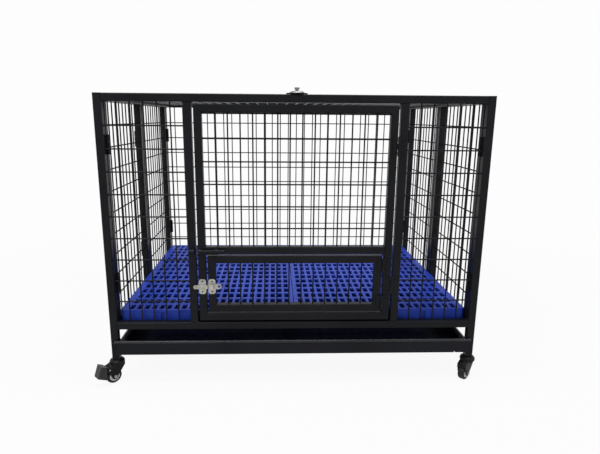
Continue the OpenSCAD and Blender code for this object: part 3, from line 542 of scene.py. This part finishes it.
def plateScrews():
    head = bpy.data.objects.new("screwPattern", screwHead())
    scene.collection.objects.link(head)
    sizes = {"Size": screw["size"], "Seed": screw["seed"]}
    tree = facedPattern("plateScrews", head, finishes["powder_black"], sizes, False)
    for (label, body), spots in screwSets().items():
        size = screw["foldSize"] if label == "crateFoldScrews" else screw["size"]
        carrier = pointMesh("screwSpots", *zip(*spots))
        made = runTree(label, tree, {**sizes, "Size": size}, carrier)
        addPiece(label, made, body)
    bpy.data.objects.remove(head)


# black push-on caps over the far ends of the caster axles
axleCap = {"rings": [(1.0, -0.05), (1.0, 0.80), (0.92, 1.02), (0.70, 1.18), (0.36, 1.26)],
           "segments": 16, "radius": 0.0042, "cheekHalf": 0.0118, "seed": 1}


def capShape():
    verts, faces = ringBands(axleCap["rings"], axleCap["segments"])
    faces.append(tuple(range(len(verts) - axleCap["segments"], len(verts))))
    mesh = bpy.data.meshes.new("capShape")
    mesh.from_pydata(verts, [], faces)
    return mesh


def axleCaps():
    shape = bpy.data.objects.new("capPattern", capShape())
    scene.collection.objects.link(shape)
    sizes = {"Size": axleCap["radius"], "Seed": axleCap["seed"]}
    tree = facedPattern("axleCaps", shape, finishes["black_plastic"], sizes, True)
    for joint in frame["record"]["behaviour"]["joints"]:
        if joint["name"].startswith("roll_"):
            facing = -Vector(joint["axis"])
            at = Vector(joint["pos_m"]) + facing * axleCap["cheekHalf"]
            label = "axleCap" + "".join(word.title() for word in joint["name"].split("_")[1:])
            made = runTree(label, tree, sizes, pointMesh("capSpot", [at], [facing]))
            addPiece(label, made, joint["parent"])
    bpy.data.objects.remove(shape)


# rolled rim of the tray in a lighter, shinier coat than the tray's, a painted highlight: a round lip in
# front and a wider roll round the rest, with balls at their ends; lip and band are half the roll's
# width and height
trayRim = {"lip": (0.0037, 0.0037), "band": (0.0065, 0.0042), "segments": 20, "corner": 0.008,
           "cornerSteps": 6, "ball": 0.0044, "ballSteps": 4, "ballInBox": 0.00413, "sideGap": 0.008}


def rimSizes(form):
    wide, high = trayRim[form]
    return {"Half Wide": wide, "Half High": high, "Ball": trayRim["ball"], "Corner": trayRim["corner"],
            "Segments": trayRim["segments"]}


def trayRimBead():
    tree, start, end = startTree("trayRimBead", rimSizes("lip"))
    path = tree.nodes.new("GeometryNodeMeshToCurve")
    corner = tree.nodes.new("GeometryNodeFilletCurve")
    upright = tree.nodes.new("GeometryNodeSetCurveNormal")
    profile = tree.nodes.new("GeometryNodeCurvePrimitiveCircle")
    flatten = tree.nodes.new("GeometryNodeTransform")
    scales = tree.nodes.new("ShaderNodeCombineXYZ")
    sweep = tree.nodes.new("GeometryNodeCurveToMesh")
    ball = tree.nodes.new("GeometryNodeMeshIcoSphere")
    place = tree.nodes.new("GeometryNodeInstanceOnPoints")
    both = tree.nodes.new("GeometryNodeJoinGeometry")
    corner.mode, upright.mode = "POLY", "Z_UP"
    profile.inputs["Radius"].default_value = 1.0
    sweep.inputs["Fill Caps"].default_value = True
    corner.inputs["Count"].default_value = trayRim["cornerSteps"]
    ball.inputs["Subdivisions"].default_value = trayRim["ballSteps"]
    tree.links.new(start.outputs["Geometry"], path.inputs["Mesh"])
    tree.links.new(path.outputs["Curve"], corner.inputs["Curve"])
    tree.links.new(start.outputs["Corner"], corner.inputs["Radius"])
    tree.links.new(corner.outputs["Curve"], upright.inputs["Curve"])
    tree.links.new(upright.outputs["Curve"], sweep.inputs["Curve"])
    tree.links.new(start.outputs["Segments"], profile.inputs["Resolution"])
    tree.links.new(start.outputs["Half Wide"], scales.inputs["X"])
    tree.links.new(start.outputs["Half High"], scales.inputs["Y"])
    tree.links.new(profile.outputs["Curve"], flatten.inputs["Geometry"])
    tree.links.new(scales.outputs["Vector"], flatten.inputs["Scale"])
    tree.links.new(flatten.outputs["Geometry"], sweep.inputs["Profile Curve"])
    tree.links.new(start.outputs["Ball"], ball.inputs["Radius"])
    tree.links.new(start.outputs["Geometry"], place.inputs["Points"])
    tree.links.new(ball.outputs["Mesh"], place.inputs["Instance"])
    tree.links.new(sweep.outputs["Mesh"], both.inputs["Geometry"])
    tree.links.new(place.outputs["Instances"], both.inputs["Geometry"])
    endTree(tree, end, both.outputs["Geometry"], rimHighlightFinish)
    low, high = boxOf("tray")
    inBox = trayRim["ballInBox"]
    lipHalf, lipY, backY, z = high.x - inBox, low.y + inBox, high.y - inBox, high.z - inBox
    side = insideWide - trayRim["sideGap"]
    lip = [(-lipHalf, lipY, z), (lipHalf, lipY, z)]
    band = [(-side, lipY, z), (-side, backY, z), (side, backY, z), (side, lipY, z)]
    for name, points, form in (("trayRimBead", lip, "lip"), ("trayRimBand", band, "band")):
        mesh = bpy.data.meshes.new("rimPath")
        mesh.from_pydata(points, [(k, k + 1) for k in range(len(points) - 1)], [])
        addPiece(name, runTree(name, tree, rimSizes(form), mesh), "tray")


# moulded floor tile, drawn like the right one: slotted skin, webs below it, pockets front and back
tile = {"sideBorder": 0.020, "seamBorder": 0.012, "endBorder": 0.009, "ribX": 0.007, "ribY": 0.012,
        "columns": 22, "rows": 16, "skin": 0.006, "web": 0.003, "cornerR": 0.012, "seamR": 0.003,
        "cornerSteps": 6, "edge": 0.0014, "browShare": 0.3, "slotEdge": 0.0009, "slotCut": 0.0016,
        "pocketWide": 0.010, "pocketDeep": 0.004, "pocketShare": 0.757, "weld": 0.00001,
        "borderWeld": 0.000001}


def slotLoop(wide, long, cut):
    x, y = wide / 2, long / 2
    return [(x, -y + cut), (x, y - cut), (x - cut, y), (-x + cut, y),
            (-x, y - cut), (-x, -y + cut), (-x + cut, -y), (x - cut, -y)]


def slotCell(stepX, stepY, top, under):
    # rim round one slot, from the skin's top over a softened edge down to its underside
    wide, long = stepX - tile["ribX"], stepY - tile["ribY"]
    edge, cut = tile["slotEdge"], tile["slotCut"]
    loops = [(slotLoop(wide + 2 * edge, long + 2 * edge, cut + edge), top),
             (slotLoop(wide, long, cut), top - edge), (slotLoop(wide, long, cut), under)]
    x, y = stepX / 2, stepY / 2
    corners = [(x, y), (-x, y), (-x, -y), (x, -y)]
    verts = [(*p, top) for p in corners] + [(*p, under) for p in corners]
    verts += [(*p, z) for loop, z in loops for p in loop]
    first, middle, last = 8, 16, 24  # where each loop of eight starts
    faces = []
    for k in range(8):
        n = (k + 1) % 8
        faces += [(first + k, first + n, middle + n, middle + k),
                  (middle + k, middle + n, last + n, last + k)]
    for c in range(4):
        a, b = 2 * c + 1, (2 * c + 2) % 8
        d = (2 * c + 3) % 8
        n = (c + 1) % 4
        faces += [(c, first + b, first + a), (c, n, first + d, first + b)]
        faces += [(4 + c, last + a, last + b), (4 + c, last + b, last + d, 4 + n)]
    mesh = bpy.data.meshes.new("slotCell")
    mesh.from_pydata(verts, [], faces)
    return bpy.data.objects.new("slotCell", mesh)


def webCell(stepX, stepY, under, bottom):
    # the four webs round one hollow below the skin
    x, y = stepX / 2, stepY / 2
    inX, inY = x - tile["web"] / 2, y - tile["web"] / 2
    verts = [(*p, z) for u, v, z in ((x, y, bottom), (inX, inY, bottom), (inX, inY, under))
             for p in ((u, v), (-u, v), (-u, -v), (u, -v))]
    faces = []
    for c in range(4):
        n = (c + 1) % 4
        faces += [(n, c, 4 + c, 4 + n), (4 + n, 4 + c, 8 + c, 8 + n)]
    mesh = bpy.data.meshes.new("webCell")
    mesh.from_pydata(verts, [], faces)
    return bpy.data.objects.new("webCell", mesh)


def tileOutline(low, high, inset, pockets):
    # rounded outline, anticlockwise from the outer back corner
    points = []
    mouth = low.x + (high.x - low.x) * tile["pocketShare"]
    half, deep = tile["pocketWide"] / 2, tile["pocketDeep"]
    corners = [(1, 1), (-1, 1), (-1, -1), (1, -1)]
    for c, (sx, sy) in enumerate(corners):
        r = tile["cornerR"] if sx > 0 else tile["seamR"]
        x = (high.x if sx > 0 else low.x) - sx * r
        y = (high.y if sy > 0 else low.y) - sy * r
        for k in range(tile["cornerSteps"] + 1):
            a = math.pi / 2 * (c + k / tile["cornerSteps"])
            points.append((x + (r - inset) * math.cos(a), y + (r - inset) * math.sin(a)))
        if c == 0:
            y0 = high.y - inset
            points += [(mouth + half, y0)]
            points += [(mouth + half, high.y - deep), (mouth - half, high.y - deep)] if pockets else []
            points += [(mouth - half, y0)]
        if c == 2:
            y0 = low.y + inset
            points += [(mouth - half, y0)]
            points += [(mouth - half, low.y + deep), (mouth + half, low.y + deep)] if pockets else []
            points += [(mouth + half, y0)]
    return points


def tileBorder(low, high, fieldLow, fieldHigh):
    # border of the skin, the outer walls and the bottom rim, as one open mesh round the slot field
    under = high.z - tile["skin"]
    made = bmesh.new()

    def loop(points, z):
        return [made.verts.new((*p, z)) for p in points]

    def band(upper, lower):
        for k in range(len(upper)):
            n = (k + 1) % len(upper)
            made.faces.new((upper[k], lower[k], lower[n], upper[n]))

    def ringFill(outer, z, columns, up):
        x0, y0, x1, y1 = fieldLow.x, fieldLow.y, fieldHigh.x, fieldHigh.y
        xs = [x0 + (x1 - x0) * k / columns for k in range(columns + 1)]
        ys = [y0 + (y1 - y0) * k / tile["rows"] for k in range(tile["rows"] + 1)]
        inner = loop([(x, y0) for x in xs] + [(x1, y) for y in ys[1:-1]]
                     + [(x, y1) for x in reversed(xs)] + [(x0, y) for y in reversed(ys[1:-1])], z)
        edges = [made.edges.get((a, b)) or made.edges.new((a, b)) for ring in (outer, inner)
                 for a, b in zip(ring, ring[1:] + ring[:1])]
        filled = bmesh.ops.triangle_fill(made, edges=edges, use_beauty=True, use_dissolve=False)
        for face in filled["geom"]:
            if isinstance(face, bmesh.types.BMFace):
                face.normal_update()
                if (face.normal.z > 0) != up:
                    face.normal_flip()
    top = loop(tileOutline(low, high, tile["edge"], False), high.z)
    browEdge = tile["edge"] * tile["browShare"]
    brow = loop(tileOutline(low, high, browEdge, False), high.z - browEdge)
    side = loop(tileOutline(low, high, 0, False), high.z - tile["edge"])
    skirt = loop(tileOutline(low, high, 0, False), under)
    wallTop = loop(tileOutline(low, high, 0, True), under)
    wallLow = loop(tileOutline(low, high, 0, True), low.z)
    for upper, lower in ((top, brow), (brow, side), (side, skirt), (wallTop, wallLow)):
        band(upper, lower)
    steps = tile["cornerSteps"] + 1
    for first in (steps, 3 * steps + 4):  # roofs of the pockets
        made.faces.new([wallTop[first + k] for k in range(4)])
    ringFill(top, high.z, tile["columns"], True)
    ringFill(wallLow, low.z, tile["columns"] // 2, False)
    bmesh.ops.remove_doubles(made, verts=made.verts, dist=tile["borderWeld"])
    mesh = bpy.data.meshes.new("tileBorder")
    made.to_mesh(mesh)
    made.free()
    return mesh


def patternGrid(tree, start, columns, rows, stepX, stepY, pattern):
    # instances of a cell on a grid centred on the slot field
    grid = tree.nodes.new("GeometryNodeMeshGrid")
    for count, step, size, vertices in ((columns, stepX, "Size X", "Vertices X"),
                                        (rows, stepY, "Size Y", "Vertices Y")):
        less = tree.nodes.new("ShaderNodeMath")
        less.operation = "SUBTRACT"
        less.inputs[1].default_value = 1
        span = tree.nodes.new("ShaderNodeMath")
        span.operation = "MULTIPLY"
        tree.links.new(start.outputs[count], less.inputs[0])
        tree.links.new(less.outputs[0], span.inputs[0])
        tree.links.new(start.outputs[step], span.inputs[1])
        tree.links.new(span.outputs[0], grid.inputs[size])
        tree.links.new(start.outputs[count], grid.inputs[vertices])
    source = tree.nodes.new("GeometryNodeObjectInfo")
    source.inputs["Object"].default_value = pattern
    place = tree.nodes.new("GeometryNodeInstanceOnPoints")
    tree.links.new(grid.outputs["Mesh"], place.inputs["Points"])
    tree.links.new(source.outputs["Geometry"], place.inputs["Instance"])
    return place.outputs["Instances"]


def floorTiles():
    low, high = boxOf("floor_tile_right")
    ribX, ribY, endBorder = tile["ribX"] / 2, tile["ribY"] / 2, tile["endBorder"]  # half ribs
    fieldLow = Vector((low.x + tile["seamBorder"] - ribX, low.y + endBorder - ribY, 0))
    fieldHigh = Vector((high.x - tile["sideBorder"] + ribX, high.y - endBorder + ribY, 0))
    stepX = (fieldHigh.x - fieldLow.x) / tile["columns"]
    stepY = (fieldHigh.y - fieldLow.y) / tile["rows"]
    under = high.z - tile["skin"]
    slotPattern = slotCell(stepX, stepY, high.z, under)
    webPattern = webCell(2 * stepX, stepY, under, low.z)
    for pattern in (slotPattern, webPattern):
        scene.collection.objects.link(pattern)
    sizes = {"Columns": tile["columns"], "Cells": tile["columns"] // 2, "Rows": tile["rows"],
             "Step X": stepX, "Cell X": 2 * stepX, "Step Y": stepY,
             "Middle X": (fieldLow.x + fieldHigh.x) / 2}
    tree, start, end = startTree("slottedTile", sizes)
    join = tree.nodes.new("GeometryNodeJoinGeometry")
    shift = tree.nodes.new("GeometryNodeTransform")
    offset = tree.nodes.new("ShaderNodeCombineXYZ")
    cells = tree.nodes.new("GeometryNodeJoinGeometry")
    for columns, step, pattern in (("Columns", "Step X", slotPattern), ("Cells", "Cell X", webPattern)):
        placed = patternGrid(tree, start, columns, "Rows", step, "Step Y", pattern)
        tree.links.new(placed, cells.inputs["Geometry"])
    tree.links.new(start.outputs["Middle X"], offset.inputs["X"])
    tree.links.new(cells.outputs["Geometry"], shift.inputs["Geometry"])
    tree.links.new(offset.outputs["Vector"], shift.inputs["Translation"])
    tree.links.new(start.outputs["Geometry"], join.inputs["Geometry"])
    tree.links.new(shift.outputs["Geometry"], join.inputs["Geometry"])
    whole, finish = join.outputs["Geometry"], finishes["blue_plastic"]
    endTree(tree, end, whole, finish, smooth=False, weld=tile["weld"])
    border = tileBorder(low, high, fieldLow, fieldHigh)
    for name, body, node, turn in (("floorTileRight", "floor_right", "floor_tile_right", 0),
                                   ("floorTileLeft", "floor_left", "floor_tile_left", math.pi)):
        made = runTree(name, tree, sizes, border)
        made.transform(Matrix.Rotation(turn, 4, "Z"))
        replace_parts(addPiece(name, made, body), node)
    for pattern in (slotPattern, webPattern):
        bpy.data.objects.remove(pattern)


weldSpots()
print("wire welds made")
tubeBeads()
print("tube beads made")
plateScrews()
print("screws made")
axleCaps()
print("axle caps made")
trayRimBead()
print("tray rim made")
floorTiles()
print("floor tiles made")


# pale floor that turns to the background's white further out, white background and soft lamps
studio = {"floorSize": 14.0, "floorTone": 0.60, "floorRough": 0.9, "nearGlow": 0.94, "farGlow": 1.0,
          "nearReach": 0.7, "farReach": 2.2, "white": 0.985, "ambient": 0.33}


def seenDirectly(tree):
    # one for rays that show the background or floor, nought for those that only carry its light
    path = tree.nodes.new("ShaderNodeLightPath")
    total = None
    for ray in ("Is Camera Ray", "Is Glossy Ray", "Is Transmission Ray"):
        if total is None:
            total = path.outputs[ray]
            continue
        most = tree.nodes.new("ShaderNodeMath")
        most.operation = "MAXIMUM"
        tree.links.new(total, most.inputs[0])
        tree.links.new(path.outputs[ray], most.inputs[1])
        total = most.outputs[0]
    return total


def makeBackground():
    world = bpy.data.worlds.new("softWhite")
    scene.world = world
    world.use_nodes = True
    tree = world.node_tree
    background = tree.nodes["Background"]
    level = tree.nodes.new("ShaderNodeMapRange")
    level.inputs["To Min"].default_value = studio["ambient"]
    level.inputs["To Max"].default_value = studio["white"]
    tree.links.new(seenDirectly(tree), level.inputs["Value"])
    tree.links.new(level.outputs["Result"], background.inputs["Strength"])
    background.inputs["Color"].default_value = (1, 1, 1, 1)


def makeFloor():
    half = studio["floorSize"] / 2
    corners = [(-half, -half, 0), (half, -half, 0), (half, half, 0), (-half, half, 0)]
    mesh = bpy.data.meshes.new("floor")
    mesh.from_pydata(corners, [], [(0, 1, 2, 3)])
    floor = bpy.data.objects.new("floor", mesh)
    scene.collection.objects.link(floor)
    mat, tree, shader, place = startMaterial("paleFloor")
    tone = studio["floorTone"]
    shader.inputs["Base Color"].default_value = (tone, tone, tone, 1)
    shader.inputs["Roughness"].default_value = studio["floorRough"]
    reach = tree.nodes.new("ShaderNodeVectorMath")
    reach.operation = "LENGTH"
    tree.links.new(place, reach.inputs[0])
    fade = tree.nodes.new("ShaderNodeMapRange")
    fade.interpolation_type = "SMOOTHSTEP"
    for socket, value in (("From Min", "nearReach"), ("From Max", "farReach"),
                          ("To Min", "nearGlow"), ("To Max", "farGlow")):
        fade.inputs[socket].default_value = studio[value]
    tree.links.new(reach.outputs["Value"], fade.inputs["Value"])
    glow = tree.nodes.new("ShaderNodeEmission")
    glow.inputs["Strength"].default_value = studio["white"]
    mix = tree.nodes.new("ShaderNodeMixShader")
    share = tree.nodes.new("ShaderNodeMath")
    share.operation = "MULTIPLY"
    tree.links.new(seenDirectly(tree), share.inputs[0])
    tree.links.new(fade.outputs["Result"], share.inputs[1])
    tree.links.new(share.outputs[0], mix.inputs["Fac"])
    tree.links.new(shader.outputs["BSDF"], mix.inputs[1])
    tree.links.new(glow.outputs["Emission"], mix.inputs[2])
    tree.links.new(mix.outputs["Shader"], tree.nodes["Material Output"].inputs["Surface"])
    mesh.materials.append(mat)


lamps = {
    "keyLamp": {"at": (-1.3, -2.0, 2.9), "aim": (0, 0, 0.35), "size": (1.6, 1.6), "watts": 50},
    "fillLamp": {"at": (2.3, -1.7, 1.7), "aim": (0, 0, 0.35), "size": (2.0, 2.0), "watts": 16},
    "topLamp": {"at": (0, -0.4, 3.0), "aim": (0, 0, 0.3), "size": (2.6, 0.6), "watts": 85},
}


def makeLamps():
    for name, lamp in lamps.items():
        data = bpy.data.lights.new(name, "AREA")
        data.shape = "RECTANGLE"
        data.size, data.size_y = lamp["size"]
        data.energy = lamp["watts"]
        obj = bpy.data.objects.new(name, data)
        obj.location = lamp["at"]
        aim = Vector(lamp["aim"]) - Vector(lamp["at"])
        obj.rotation_euler = aim.to_track_quat("-Z", "Y").to_euler()
        scene.collection.objects.link(obj)


# the photo's view: pixel focal length and middle in a 600 x 454 picture
shot = {"width": 600, "height": 454, "focal": 483.6, "middle": (289.6, 225.3), "sensor": 36.0,
        "at": (-0.053, -1.506, 0.673), "yaw": -0.0327, "pitch": 0.2174, "roll": 0.0074}


def makeCamera():
    data = bpy.data.cameras.new("photoView")
    data.sensor_width = shot["sensor"]
    data.lens = shot["focal"] / shot["width"] * shot["sensor"]
    data.shift_x = (shot["width"] / 2 - shot["middle"][0]) / shot["width"]
    data.shift_y = (shot["middle"][1] - shot["height"] / 2) / shot["width"]
    camera = bpy.data.objects.new("photoView", data)
    level = Matrix(((1, 0, 0), (0, 0, -1), (0, 1, 0)))  # rows: right, down, forward
    turn = (Matrix.Rotation(shot["roll"], 3, "Z") @ Matrix.Rotation(shot["pitch"], 3, "X")
            @ Matrix.Rotation(shot["yaw"], 3, "Y") @ level)
    right, down, ahead = turn[0], turn[1], turn[2]
    axes = Matrix((right, -down, -ahead)).transposed()
    camera.matrix_world = Matrix.Translation(shot["at"]) @ axes.to_4x4()
    scene.collection.objects.link(camera)
    scene.camera = camera


makeBackground()
makeFloor()
makeLamps()
makeCamera()
print("studio, lamps and camera set")
